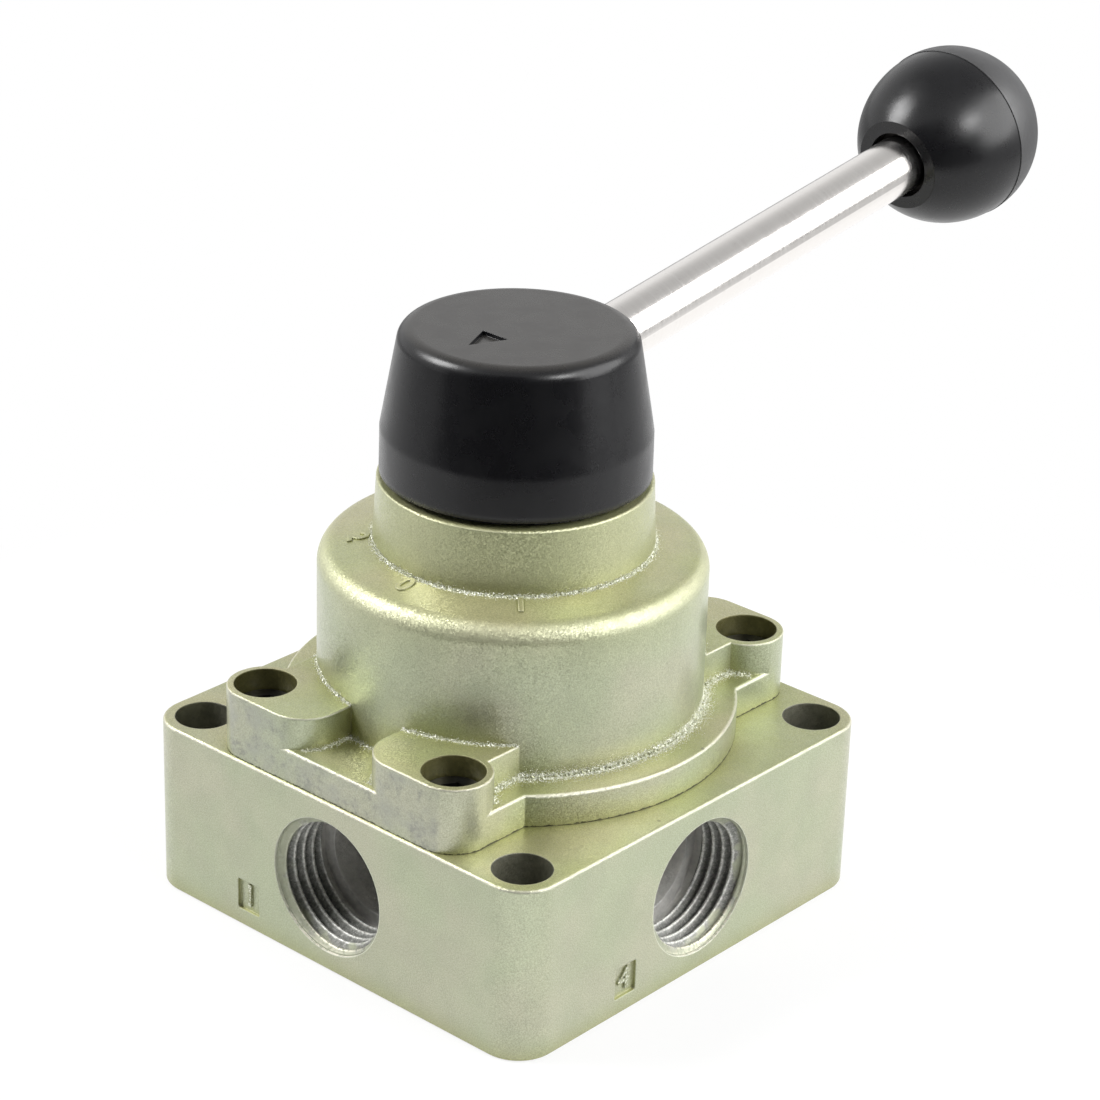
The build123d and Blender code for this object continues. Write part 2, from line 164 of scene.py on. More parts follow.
class Shader:
    """A node material: add() makes a node, and an input given as a socket is linked."""

    def __init__(self, name):
        self.material = bpy.data.materials.new(name)
        self.material.use_nodes = True
        self.tree = self.material.node_tree
        self.surface = self.tree.nodes["Principled BSDF"]

    def put(self, node, inputs):
        for key, value in inputs.items():
            if isinstance(value, bpy.types.NodeSocket):
                self.tree.links.new(value, node.inputs[key])
            else:
                node.inputs[key].default_value = value

    def add(self, kind, inputs=None, **settings):
        node = self.tree.nodes.new(kind)
        for key, value in settings.items():
            setattr(node, key, value)
        self.put(node, inputs or {})
        return node

    def math(self, operation, a, b=0.0, c=0.0):
        return self.add("ShaderNodeMath", {0: a, 1: b, 2: c}, operation=operation).outputs[0]

    def step(self, value, low, high, to_low=0.0, to_high=1.0):
        """A smooth ramp from to_low at low to to_high at high."""
        inputs = {"Value": value, "From Min": low, "From Max": high, "To Min": to_low, "To Max": to_high}
        node = self.add("ShaderNodeMapRange", inputs, interpolation_type="SMOOTHSTEP")
        return node.outputs[0]

    def noise(self, scale, detail=2.0, roughness=0.5, vector=None):
        inputs = {"Scale": scale, "Detail": detail, "Roughness": roughness}
        inputs["Vector"] = vector or self.place()
        return self.add("ShaderNodeTexNoise", inputs).outputs["Fac"]

    def cells(self, scale):
        return self.add("ShaderNodeTexVoronoi", {"Scale": scale, "Vector": self.place()})

    def place(self):
        """The point in the part's own frame, in metres."""
        return self.coordinates().outputs["Object"]

    def coordinates(self):
        """The one node that gives the point and the normal."""
        if not hasattr(self, "_coordinates"):
            self._coordinates = self.add("ShaderNodeTexCoord")
        return self._coordinates

    def facing_up(self):
        """1 on a face that looks up, 0 on an upright one and -1 on one that looks down."""
        return self.split(self.coordinates().outputs["Normal"])[2]

    def dot(self, vector, direction):
        inputs = {0: vector, 1: direction}
        return self.add("ShaderNodeVectorMath", inputs, operation="DOT_PRODUCT").outputs["Value"]

    def split(self, vector):
        return self.add("ShaderNodeSeparateXYZ", {0: vector}).outputs

    def mix(self, factor, a, b):
        """A colour between a and b."""
        node = self.add("ShaderNodeMix", {"Factor": factor}, data_type="RGBA")
        self.put_colour(node.inputs[6], a)
        self.put_colour(node.inputs[7], b)
        return node.outputs[2]

    def put_colour(self, socket, value):
        if isinstance(value, bpy.types.NodeSocket):
            self.tree.links.new(value, socket)
        else:
            socket.default_value = (*value, 1.0)

    def bump(self, height, distance, strength=1.0, normal=None):
        inputs = {"Height": height, "Distance": distance, "Strength": strength}
        if normal is not None:
            inputs["Normal"] = normal
        return self.add("ShaderNodeBump", inputs).outputs[0]

    def soft_normal(self, radius):
        """The surface's normal, turned over softly at every edge."""
        return self.add("ShaderNodeBevel", {"Radius": radius}, samples=6).outputs[0]

    def flakes(self, scale, tilt, normal):
        """A normal, turned a little another way in every grain of the paint."""
        turn = self.add("ShaderNodeVectorMath", {0: self.cells(scale).outputs["Color"], 1: (0.5, 0.5, 0.5)},
                        operation="SUBTRACT").outputs[0]
        turn = self.add("ShaderNodeVectorMath", {0: turn, "Scale": tilt}, operation="SCALE").outputs[0]
        return self.add("ShaderNodeVectorMath", {0: normal, 1: turn}, operation="ADD").outputs[0]


def srgb(red, green, blue):
    """A colour as it is seen on a screen, 0 to 255, as the linear values that a shader takes."""
    shares = [c / 255 for c in (red, green, blue)]
    return tuple(c / 12.92 if c <= 0.04045 else ((c + 0.055) / 1.055) ** 2.4 for c in shares)


def crease(shader, distance):
    """0 in a deep corner and 1 on an open face, from ambient occlusion. The finishes use it to paint shade
    into corners.
    """
    node = shader.add("ShaderNodeAmbientOcclusion", {"Distance": distance}, samples=8, only_local=False)
    return node.outputs["AO"]


def sharp_edge(shader, radius):
    """1 on an outer edge and 0 on an even face, from the turn of a rounded normal."""
    geometry = shader.add("ShaderNodeNewGeometry")
    alike = shader.dot(shader.soft_normal(radius), geometry.outputs["Normal"])
    return shader.step(alike, 0.995, 0.90)


def hypotenuse(shader, a, b):
    """The length of a line that spans a along one axis and b along another."""
    squares = shader.math("ADD", shader.math("MULTIPLY", a, a), shader.math("MULTIPLY", b, b))
    return shader.math("SQRT", squares)


def well_mask(shader, centre, radius):
    """1 inside the four upright holes that stand at the given place in each quarter of the part."""
    x, y = shader.split(shader.place())[:2]
    off_x = shader.math("SUBTRACT", shader.math("ABSOLUTE", x), centre[0])
    off_y = shader.math("SUBTRACT", shader.math("ABSOLUTE", y), centre[1])
    return shader.math("LESS_THAN", hypotenuse(shader, off_x, off_y), radius)


def port_axis_distance(shader):
    """How far a point lies from the axis of the nearest port."""
    x, y, z = shader.split(shader.place())[:3]
    across = shader.math("MINIMUM", shader.math("ABSOLUTE", x), shader.math("ABSOLUTE", y))
    high = shader.math("SUBTRACT", z, port_z)
    return hypotenuse(shader, across, high)


def bore_mask(shader):
    """1 on the walls of the four ports."""
    return shader.math("LESS_THAN", port_axis_distance(shader), port_radius + 0.1 * MM)


def port_depth(shader):
    """How far a point lies behind the nearest of the block's four side faces."""
    x, y = shader.split(shader.place())[:2]
    reach = shader.math("MAXIMUM", shader.math("ABSOLUTE", x), shader.math("ABSOLUTE", y))
    return shader.math("SUBTRACT", base_half, reach)


def make_paint(name, on_block):
    """Champagne metallic paint on the block or the bonnet, with painted shade (olive green) in the creases
    and painted light (golden) on faces that look up.
    """
    s = Shader(name)
    hue = s.step(s.noise(60.0, 2.0), 0.36, 0.64)
    side = s.mix(hue, srgb(168, 175, 144), srgb(175, 176, 150))
    top = s.mix(hue, srgb(170, 174, 123), srgb(177, 174, 132))
    neck = srgb(168, 171, 122)
    # The olive of the painted shade in the creases
    deep = srgb(150, 151, 84)
    # Paler colours for the painted highlights on rounded faces and sharp edges
    edge = srgb(214, 210, 198)
    shoulder_highlight = srgb(204, 204, 172)
    speck = srgb(110, 110, 88)
    joint_shadow = srgb(38, 36, 26)
    metallic = 0.6

    leaning = s.facing_up()
    # A golden tint on faces that look up, which stands in for the warm light they catch: painted light.
    painted_top_light = s.step(leaning, 0.2, 0.9)
    height = s.split(s.place())[2]
    side = s.mix(s.step(height, 45.0 * MM, 60.0 * MM, 0.0, 0.7), side, neck)
    patches = s.noise(70.0, 3.0, 0.55)
    colour = s.mix(s.math("MULTIPLY", painted_top_light, s.step(patches, 0.25, 0.6, 0.55, 1.0)), side, top)
    # Olive painted shade in the creases, from ambient occlusion, but none on the neck's top rim.
    neck_rim = s.step(height, bonnet_top - 1.4 * MM, bonnet_top - 0.5 * MM)
    unshaded_share = s.math("MAXIMUM", crease(s, 7.0 * MM), neck_rim)
    colour = s.mix(s.step(unshaded_share, 0.85, 0.35, 0.0, 0.75), colour, deep)
    blotches = s.step(s.noise(180.0, 2.0, 0.6), 0.3, 0.7, 0.97, 1.04)
    grain = s.step(s.noise(5200.0, 2.0, 0.7), 0.3, 0.7, 0.80, 1.18)
    value = s.math("MULTIPLY", blotches, grain)
    colour = s.add("ShaderNodeHueSaturation", {"Value": value, "Color": colour}).outputs[0]
    # Rounded faces and sharp edges are painted paler: painted highlight.
    rounded_share = s.math("MULTIPLY", s.step(leaning, -0.05, 0.5), s.step(leaning, 0.99, 0.7))
    rounded_highlight = s.mix(s.step(height, 42.0 * MM, 46.0 * MM), edge, shoulder_highlight)
    colour = s.mix(s.math("MULTIPLY", rounded_share, 0.5), colour, rounded_highlight)
    sharp = sharp_edge(s, 0.42 * MM)
    colour = s.mix(s.math("MULTIPLY", sharp, 0.15), colour, edge)

    rough = s.step(s.noise(900.0, 2.0), 0.3, 0.7, 0.36, 0.44)
    rough = s.math("MULTIPLY_ADD", rounded_share, 0.12, rough)
    rough = s.math("MULTIPLY_ADD", sharp, 0.18, rough)
    if not on_block:
        colour = rub_plate(s, colour)
    specks = s.step(s.cells(55.0).outputs["Distance"], 0.022, 0.010, 0.0, 0.6)
    colour = s.mix(specks, colour, speck)
    rough_walls = 0.0
    if on_block:
        inside = bore_mask(s)
        colour = paint_bores(s, colour, inside)
        metallic = s.step(inside, 0.0, 1.0, metallic, 0.0)
        rough_walls = s.math("MULTIPLY", inside, 0.9)
    else:
        colour = paint_counterbores(s, colour)
        ragged = s.step(s.noise(1300.0, 3.0, 0.7), 0.3, 0.7, -0.12 * MM, 0.16 * MM)
        joint = s.step(s.math("SUBTRACT", height, ragged), base_top + 0.2 * MM, base_top + 0.1 * MM)
        colour = s.mix(s.math("MULTIPLY", joint, 0.88), colour, joint_shadow)
    rounded = s.soft_normal(0.32 * MM)
    sparkle = s.math("MULTIPLY_ADD", rounded_share, 0.10, 0.28)
    even = s.bump(s.noise(350.0, 2.0), 0.02 * MM, 0.35, s.flakes(6400.0, sparkle, rounded))
    s.put(s.surface, {
        "Base Color": colour,
        "Metallic": metallic,
        "Roughness": rough,
        "IOR": 2.0,
        "Coat Weight": s.math("MULTIPLY_ADD", sharp, -0.35, 0.45),
        "Coat Roughness": s.math("MULTIPLY_ADD", rounded_share, 0.20, 0.18),
        "Normal": s.bump(s.noise(620.0, 4.0, 0.7), 0.3 * MM, rough_walls,
                         s.bump(s.noise(2600.0, 3.0, 0.65), 0.02 * MM, 0.45, even)),
        "Coat Normal": s.bump(s.noise(1500.0, 3.0, 0.6), 0.015 * MM, 0.4, rounded),
    })
    return s.material


def rub_plate(s, colour):
    """The bonnet plate's outer sides, where the paint is rubbed pale and smeared with dark metal."""
    bare = srgb(150, 152, 142)
    smear = srgb(108, 110, 106)
    y, z = s.split(s.place())[1:3]
    outer = s.step(s.math("ABSOLUTE", y), plate_half_y - 0.6 * MM, plate_half_y - 0.1 * MM)
    below = s.step(z, lug_top + 0.2 * MM, lug_top - 0.8 * MM)
    rubbed = s.math("MULTIPLY", outer, below)
    worn = s.math("MULTIPLY", rubbed, s.step(s.noise(160.0, 4.0, 0.65), 0.38, 0.66, 0.15, 0.7))
    colour = s.mix(worn, colour, bare)
    smears = s.math("MULTIPLY", rubbed, s.step(s.noise(420.0, 6.0, 0.75), 0.50, 0.68, 0.0, 0.5))
    return s.mix(smears, colour, smear)


def paint_bores(s, colour, inside):
    """The ports' walls, painted at the mouth and bare behind it, with a painted highlight on the mouth's
    faces that look up, and the walls of the mounting holes, darkened with painted shade.
    """
    metal = s.mix(s.noise(700.0, 4.0, 0.65), srgb(160, 159, 156), srgb(236, 234, 228))
    mouth = s.mix(s.noise(900.0, 3.0, 0.6), srgb(186, 190, 166), srgb(212, 214, 194))
    # Cream specks on the mouth's upward faces: painted highlight.
    lit = s.math("MULTIPLY", s.step(s.facing_up(), 0.3, 0.9), s.step(s.noise(2000.0), 0.36, 0.5))
    mouth = s.mix(lit, mouth, srgb(244, 240, 222))
    walls = s.mix(s.step(port_depth(s), 1.2 * MM, 2.2 * MM), mouth, metal)
    colour = s.mix(inside, colour, walls)
    # The mounting holes' walls are darkened: painted shade.
    holes = well_mask(s, (mount_hole_xy, mount_hole_xy), mount_hole_radius + 0.05 * MM)
    shade = s.mix(s.noise(700.0, 4.0, 0.65), srgb(92, 92, 80), srgb(158, 157, 138))
    return s.mix(holes, colour, shade)


def paint_counterbores(s, colour):
    """The walls of the four screws' counterbores, olive and darkened with painted shade."""
    inside = well_mask(s, (screw_x, screw_y), counterbore_radius + 0.05 * MM)
    walls = s.mix(s.noise(700.0, 4.0, 0.65), srgb(78, 76, 40), srgb(138, 134, 84))
    return s.mix(inside, colour, walls)


def make_bead_paint(name, light, dark):
    """The same paint where it has gathered in sparkling grains along the casting's inner corners. Its colours
    are paler than the paint's and stand in for the sparkle: painted highlight.
    """
    s = Shader(name)
    grains = s.cells(2600.0).outputs["Distance"]
    s.put(s.surface, {
        "Base Color": s.mix(s.step(grains, 0.1, 0.7), light, dark),
        "Metallic": 0.35,
        "Roughness": s.step(s.noise(3000.0), 0.3, 0.7, 0.24, 0.42),
        "Normal": s.bump(grains, 0.1 * MM, 0.9),
    })
    return s.material


def make_thread_metal():
    """The threads: bare and rough inside, with a green veil of paint on the first turns. The crests and the
    first turns' upward faces have painted highlights, and the grooves' corners have painted shade.
    """
    s = Shader("thread_metal")
    root, crest_highlight = srgb(146, 147, 142), srgb(226, 226, 220)
    glint, stain = srgb(238, 238, 232), srgb(74, 74, 70)
    green_veil, veil_highlight, shadow = srgb(172, 176, 150), srgb(240, 236, 218), srgb(60, 60, 54)
    # The crests are painted paler than the rest: painted highlight.
    colour = s.mix(s.step(port_axis_distance(s), 9.66 * MM, 9.37 * MM), root, crest_highlight)
    colour = s.mix(s.step(s.noise(3200.0, 3.0, 0.7), 0.54, 0.66, 0.0, 0.4), colour, glint)
    colour = s.mix(s.step(s.noise(1900.0, 4.0, 0.7), 0.38, 0.62, 0.0, 0.5), colour, stain)
    veil = s.math("ADD", port_depth(s), s.step(s.noise(300.0, 3.0), 0.3, 0.7, -1.2 * MM, 1.2 * MM))
    colour = s.mix(s.step(veil, 2.3 * MM, 0.9 * MM, 0.0, 0.75), colour, green_veil)
    # Cream on the first turns' faces that look up: painted highlight.
    lit = s.math("MULTIPLY", s.step(s.facing_up(), 0.3, 0.9), s.step(port_depth(s), 2.2 * MM, 1.0 * MM))
    lit = s.math("MULTIPLY", lit, s.step(s.noise(2000.0), 0.36, 0.5))
    colour = s.mix(lit, colour, veil_highlight)
    # Painted shade in the grooves' corners, from ambient occlusion.
    colour = s.mix(s.step(crease(s, 1.6 * MM), 0.8, 0.3, 0.0, 0.3), colour, shadow)
    s.put(s.surface, {
        "Base Color": colour,
        "Metallic": 0.5,
        "Roughness": s.step(s.noise(800.0, 3.0), 0.3, 0.7, 0.4, 0.55),
        "Normal": s.bump(s.noise(3600.0, 3.0, 0.75), 0.06 * MM, 1.0),
    })
    return s.material


def make_machined():
    """Bare machined alloy, as of the hub under the cap: dull and grey, with painted shade in its corners."""
    s = Shader("machined_alloy")
    colour = s.mix(s.noise(1500.0, 4.0, 0.7), srgb(96, 98, 96), srgb(196, 197, 194))
    colour = s.mix(s.step(crease(s, 2.5 * MM), 0.9, 0.3, 0.0, 0.75), colour, srgb(60, 61, 60))
    s.put(s.surface, {
        "Base Color": colour,
        "Metallic": 0.8,
        "Roughness": s.step(s.noise(800.0, 3.0), 0.3, 0.7, 0.28, 0.5),
        "Normal": s.bump(s.noise(3500.0, 3.0, 0.7), 0.03 * MM, 0.6),
    })
    return s.material


def make_steel(name, light, dark, roughness):
    """Plain metal with a fine grain between two shades."""
    s = Shader(name)
    s.put(s.surface, {
        "Base Color": s.mix(s.noise(900.0, 4.0, 0.6), dark, light),
        "Metallic": 1.0,
        "Roughness": s.step(s.noise(1400.0, 3.0), 0.3, 0.7, roughness * 0.85, roughness * 1.2),
        "Normal": s.bump(s.noise(4000.0, 2.0), 0.01 * MM, 0.5),
    })
    return s.material


def make_chrome():
    """The plated rod: bright, with a faint ground grain round it and a few pits."""
    s = Shader("plated_rod")
    stretched = s.add("ShaderNodeMapping", {"Vector": s.place(), "Scale": (60.0, 2600.0, 60.0)}).outputs[0]
    grain = s.noise(1.0, 3.0, 0.6, stretched)
    pits = s.step(s.noise(1700.0, 3.0, 0.6), 0.66, 0.74)
    colour = s.mix(grain, srgb(236, 232, 228), srgb(247, 244, 241))
    colour = s.mix(s.math("MULTIPLY", pits, 0.35), colour, srgb(170, 165, 158))
    height = s.math("SUBTRACT", s.math("MULTIPLY", grain, 0.4), pits)
    s.put(s.surface, {
        "Base Color": colour,
        "Metallic": 1.0,
        "Roughness": s.step(grain, 0.3, 0.7, 0.15, 0.22),
        "Normal": s.bump(height, 0.004 * MM, 0.3),
    })
    return s.material


def make_black(name, tone, roughness, level, skin_scale, skin_depth, dust_and_sheen=0.0, soft_below=None):
    """Near-black moulding with dust specks, faint scratches and an uneven gloss.

    dust_and_sheen is the share of a pale film on level faces: partly dust and partly a painted sheen for the
    light the top catches at a glancing angle. Edges lower than soft_below look rounder.
    """
    s = Shader(name)
    film, speck = srgb(64, 62, 59), srgb(110, 110, 112)
    edge_turn = 0.15 * MM
    if soft_below is not None:
        low_edge_turn = 1.3 * MM
        edge_turn = s.step(s.split(s.place())[2], soft_below, soft_below - 2.0 * MM, edge_turn, low_edge_turn)
    dust = s.step(s.cells(170.0).outputs["Distance"], 0.026, 0.012, 0.0, 0.5)
    colour = s.mix(s.noise(120.0, 3.0), tone, tuple(c * 1.35 for c in tone))
    # A pale film on level faces: dust, and a painted sheen.
    colour = s.mix(s.step(s.facing_up(), 0.7, 0.99, 0.0, dust_and_sheen), colour, film)
    colour = s.mix(dust, colour, speck)
    scratch_place = s.add("ShaderNodeMapping", {"Vector": s.place(), "Rotation": (0.3, 0.5, 0.4),
                                                "Scale": (40.0, 900.0, 300.0)}).outputs[0]
    scratches = s.step(s.noise(1.0, 2.0, 0.5, scratch_place), 0.74, 0.80)
    rough = s.step(s.noise(240.0, 4.0, 0.6), 0.3, 0.7, roughness * 0.88, roughness * 1.15)
    rough = s.math("ADD", rough, s.math("MULTIPLY", scratches, 0.08))
    s.put(s.surface, {
        "Base Color": colour,
        "Roughness": rough,
        "Specular IOR Level": level,
        "Normal": s.bump(s.noise(skin_scale, 3.0, 0.6), skin_depth, 0.5, s.soft_normal(edge_turn)),
    })
    return s.material


def make_rubber():
    """Black seal rubber."""
    s = Shader("seal_rubber")
    s.put(s.surface, {
        "Base Color": s.mix(s.noise(600.0, 3.0), srgb(22, 22, 22), srgb(40, 40, 40)),
        "Roughness": s.step(s.noise(1500.0), 0.3, 0.7, 0.5, 0.7),
        "Normal": s.bump(s.noise(2500.0), 0.02 * MM, 0.5),
    })
    return s.material


def make_plastic():
    """Pale acetal, as the slide disc and the thrust washer are cut from."""
    s = Shader("disc_plastic")
    s.put(s.surface, {
        "Base Color": s.mix(s.noise(400.0, 3.0), srgb(222, 220, 210), srgb(232, 231, 224)),
        "Roughness": s.step(s.noise(900.0), 0.3, 0.7, 0.35, 0.5),
        "Normal": s.bump(s.noise(2200.0), 0.02 * MM, 0.4),
    })
    return s.material


def dress_nodes():
    """Gives every CAD node its finish."""
    steel = make_steel("ground_steel", srgb(205, 206, 208), srgb(170, 171, 174), 0.28)
    finishes = {
        "valve_base": make_paint("block_paint", True),
        "bonnet": make_paint("bonnet_paint", False),
        "bonnet_screws": make_steel("blackened_steel", srgb(92, 92, 94), srgb(48, 48, 50), 0.35),
        "knob_cap": make_black("cap_black", srgb(15, 15, 17), 0.28, 0.38, 1800.0, 0.012 * MM,
                               dust_and_sheen=0.5, soft_below=cap_top - 6.0 * MM),
        "lever_rod": make_chrome(),
        "ball_knob": make_black("knob_gloss_black", srgb(13, 13, 15), 0.28, 0.40, 900.0, 0.016 * MM),
        "knob_end": make_black("knob_end_black", srgb(48, 48, 49), 0.45, 0.7, 900.0, 0.02 * MM),
        "knob_insert": make_steel("blackened_brass", srgb(44, 42, 40), srgb(24, 23, 22), 0.4),
        "shaft_bush": make_steel("bronze", srgb(186, 134, 84), srgb(160, 110, 66), 0.4),
        "rotor_hub": make_machined(),
    }
    rubber = make_rubber()
    plastic = make_plastic()
    finishes["hub_screw"] = finishes["bonnet_screws"]
    for name in ("port_seals", "bonnet_seal", "shaft_seal"):
        finishes[name] = rubber
    for name in ("slide_disc", "thrust_washer"):
        finishes[name] = plastic
    for name, node in nodes.items():
        material = finishes.get(name, steel)
        if not node.material_slots:
            node.data.materials.append(material)
        for slot in node.material_slots:
            slot.material = material
    return finishes


def make_floor():
    """A pale floor that is white to the camera and keeps the part's soft shadow."""
    mesh = bpy.data.meshes.new("floor")
    corners = [(x * floor_half, y * floor_half, 0) for x, y in ((-1, -1), (1, -1), (1, 1), (-1, 1))]
    mesh.from_pydata(corners, [], [(0, 1, 2, 3)])
    floor = bpy.data.objects.new("floor", mesh)
    bpy.context.scene.collection.objects.link(floor)
    floor.location.z = -floor_below
    s = Shader("floor_white")
    far = s.add("ShaderNodeVectorMath", {0: s.place()}, operation="LENGTH").outputs["Value"]
    paper = s.mix(s.step(far, paper_pale_to, paper_grey_from), paper_pale, paper_grey)
    s.put(s.surface, {"Base Color": paper, "Roughness": 0.9, "Specular IOR Level": 0.1})

    # How brightly the floor glows in reflections: most on a card's width before the part, to the camera
    path = s.add("ShaderNodeLightPath").outputs
    reach = s.dot(s.place(), camera_side())
    aside = s.math("ABSOLUTE", s.dot(s.place(), camera_side().cross(Vector((0, 0, 1)))))
    near = s.math("MULTIPLY", s.step(reach, 0.060, 0.085), s.step(aside, 0.075, 0.045))
    card = s.math("MULTIPLY", path["Is Glossy Ray"], s.math("MULTIPLY_ADD", near, 0.9, 1.0))
    strength = s.math("MAXIMUM", 1.0, card)
    glow = s.add("ShaderNodeEmission", {"Color": (1.0, 1.0, 1.0, 1.0), "Strength": strength})

    # How much of the glow each kind of ray sees in place of the paper
    mirrored = s.math("MULTIPLY", path["Is Glossy Ray"],
                      s.step(far, paper_pale_to, paper_grey_from, 0.8, 0.24))
    looked_at = s.math("MULTIPLY", path["Is Camera Ray"], s.step(far, 0.105, 0.145, 0.8, 1.0))
    seen = s.math("MAXIMUM", looked_at, mirrored)
    seen = s.math("MAXIMUM", seen, s.math("MULTIPLY", path["Is Transmission Ray"], 0.8))
    both = s.add("ShaderNodeMixShader", {0: seen, 1: s.surface.outputs[0], 2: glow.outputs[0]})
    s.tree.links.new(both.outputs[0], s.tree.nodes["Material Output"].inputs[0])
    mesh.materials.append(s.material)


def camera_side():
    """The level direction from the part to the camera."""
    azimuth = math.radians(camera_azimuth - 90)
    return Vector((math.cos(azimuth), math.sin(azimuth), 0))


def make_world():
    """White to the camera. To all else a pale horizon under a greyer sky, brighter on the camera's side."""
    world = bpy.data.worlds.new("studio")
    bpy.context.scene.world = world
    world.use_nodes = True
    tree = world.node_tree
    background = tree.nodes["Background"]
    background.inputs["Color"].default_value = (1.0, 1.0, 1.0, 1.0)
    direction = tree.nodes.new("ShaderNodeTexCoord")
    height = tree.nodes.new("ShaderNodeSeparateXYZ")
    tree.links.new(direction.outputs["Generated"], height.inputs[0])

    # The sky's strength by the height of the direction
    sky = tree.nodes.new("ShaderNodeMapRange")
    sky.interpolation_type = "SMOOTHSTEP"
    for key, value in (("From Min", 0.35), ("From Max", 0.95), ("To Min", 0.9), ("To Max", 0.46)):
        sky.inputs[key].default_value = value
    tree.links.new(height.outputs[2], sky.inputs["Value"])

    # More of it towards the camera's side
    facing = tree.nodes.new("ShaderNodeVectorMath")
    facing.operation = "DOT_PRODUCT"
    facing.inputs[1].default_value = camera_side()
    tree.links.new(direction.outputs["Generated"], facing.inputs[0])
    front = tree.nodes.new("ShaderNodeMath")
    front.operation = "MULTIPLY_ADD"
    front.use_clamp = True
    front.inputs[1].default_value = 0.5
    tree.links.new(facing.outputs["Value"], front.inputs[0])
    tree.links.new(sky.outputs[0], front.inputs[2])
    lit = tree.nodes.new("ShaderNodeMath")
    lit.operation = "MAXIMUM"
    tree.links.new(sky.outputs[0], lit.inputs[0])
    tree.links.new(front.outputs[0], lit.inputs[1])

    # Full white to the camera
    path = tree.nodes.new("ShaderNodeLightPath")
    seen = tree.nodes.new("ShaderNodeMath")
    seen.operation = "MAXIMUM"
    tree.links.new(path.outputs["Is Camera Ray"], seen.inputs[0])
    tree.links.new(lit.outputs[0], seen.inputs[1])
    tree.links.new(seen.outputs[0], background.inputs["Strength"])


def make_flag():
    """A dark screen and mat on the camera's side of the floor, which the camera looks through."""
    away = camera_side()
    across = Vector((-away.y, away.x, 0))
    outline = [(flag_left, 0.0), (flag_right, 0.0), (flag_right, flag_low), (flag_step_to, flag_low),
               (flag_step_from, flag_high), (flag_left, flag_high)]
    points = [away * flag_distance + across * side + Vector((0, 0, height)) for side, height in outline]
    mat = [(flag_left, mat_start), (flag_right, mat_start), (flag_right, flag_distance),
           (flag_left, flag_distance)]
    points += [away * reach + across * side + Vector((0, 0, mat_height)) for side, reach in mat]
    mesh = bpy.data.meshes.new("flag")
    mesh.from_pydata(points, [], [tuple(range(6)), tuple(range(6, 10))])
    flag = bpy.data.objects.new("flag", mesh)
    bpy.context.scene.collection.objects.link(flag)
    s = Shader("flag_black")
    dark_share = s.step(s.dot(s.place(), away), mat_start, mat_dark_from)
    shade = s.mix(dark_share, (0.7, 0.7, 0.7), (0.03, 0.03, 0.03))
    s.put(s.surface, {"Base Color": shade, "Roughness": 0.9, "Specular IOR Level": 0.1})
    mesh.materials.append(s.material)
    flag.visible_camera = False


def make_softbox(name, direction, distance, size, power):
    """A round or oval soft light that looks at the part from the given direction."""
    data = bpy.data.lights.new(name, "AREA")
    data.shape = "ELLIPSE"
    data.size, data.size_y = size
    data.energy = power
    light = bpy.data.objects.new(name, data)
    bpy.context.scene.collection.objects.link(light)
    away = Vector(direction).normalized()
    light.location = light_aim + away * distance
    light.rotation_euler = away.to_track_quat("Z", "Y").to_euler()


def make_camera():
    """The camera that took the photograph."""
    data = bpy.data.cameras.new("camera")
    data.sensor_width = sensor_width
    data.lens = focal_pixels / frame_pixels * sensor_width
    data.shift_x = (frame_pixels / 2 - principal_pixel[0]) / frame_pixels
    data.shift_y = (principal_pixel[1] - frame_pixels / 2) / frame_pixels
    data.clip_start = 0.01
    camera = bpy.data.objects.new("camera", data)
    bpy.context.scene.collection.objects.link(camera)
    turn = Matrix.Rotation(math.radians(camera_azimuth), 4, "Z")
    tilt = Matrix.Rotation(math.radians(90 - camera_elevation), 4, "X")
    roll = Matrix.Rotation(math.radians(camera_roll), 4, "Z")
    camera.matrix_world = Matrix.Translation(camera_place) @ turn @ tilt @ roll
    bpy.context.scene.camera = camera


def finish_piece(name, mesh, body, material, smooth=True):
    """Links a mesh as a piece that rides on a body."""
    piece = bpy.data.objects.new(name, mesh)
    bpy.context.scene.collection.objects.link(piece)
    mesh.materials.clear()
    mesh.materials.append(material)
    for face in mesh.polygons:
        face.use_smooth = smooth
    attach(piece, body)


def sweep_mesh(name, rows):
    """A tube mesh whose rings of points are given in order, capped at both ends."""
    mesh = bpy.data.meshes.new(name)
    sides = len(rows[0])
    points = [p for row in rows for p in row]
    faces = []
    last = (len(rows) - 1) * sides
    for a in range(0, last, sides):
        b = a + sides
        for j in range(sides):
            k = (j + 1) % sides
            faces.append((a + j, a + k, b + k, b + j))
    faces.append(tuple(range(sides))[::-1])
    faces.append(tuple(range(last, last + sides)))
    mesh.from_pydata(points, [], faces)
    mesh.validate()
    work = bmesh.new()
    work.from_mesh(mesh)
    bmesh.ops.recalc_face_normals(work, faces=work.faces)
    work.to_mesh(mesh)
    work.free()
    return mesh


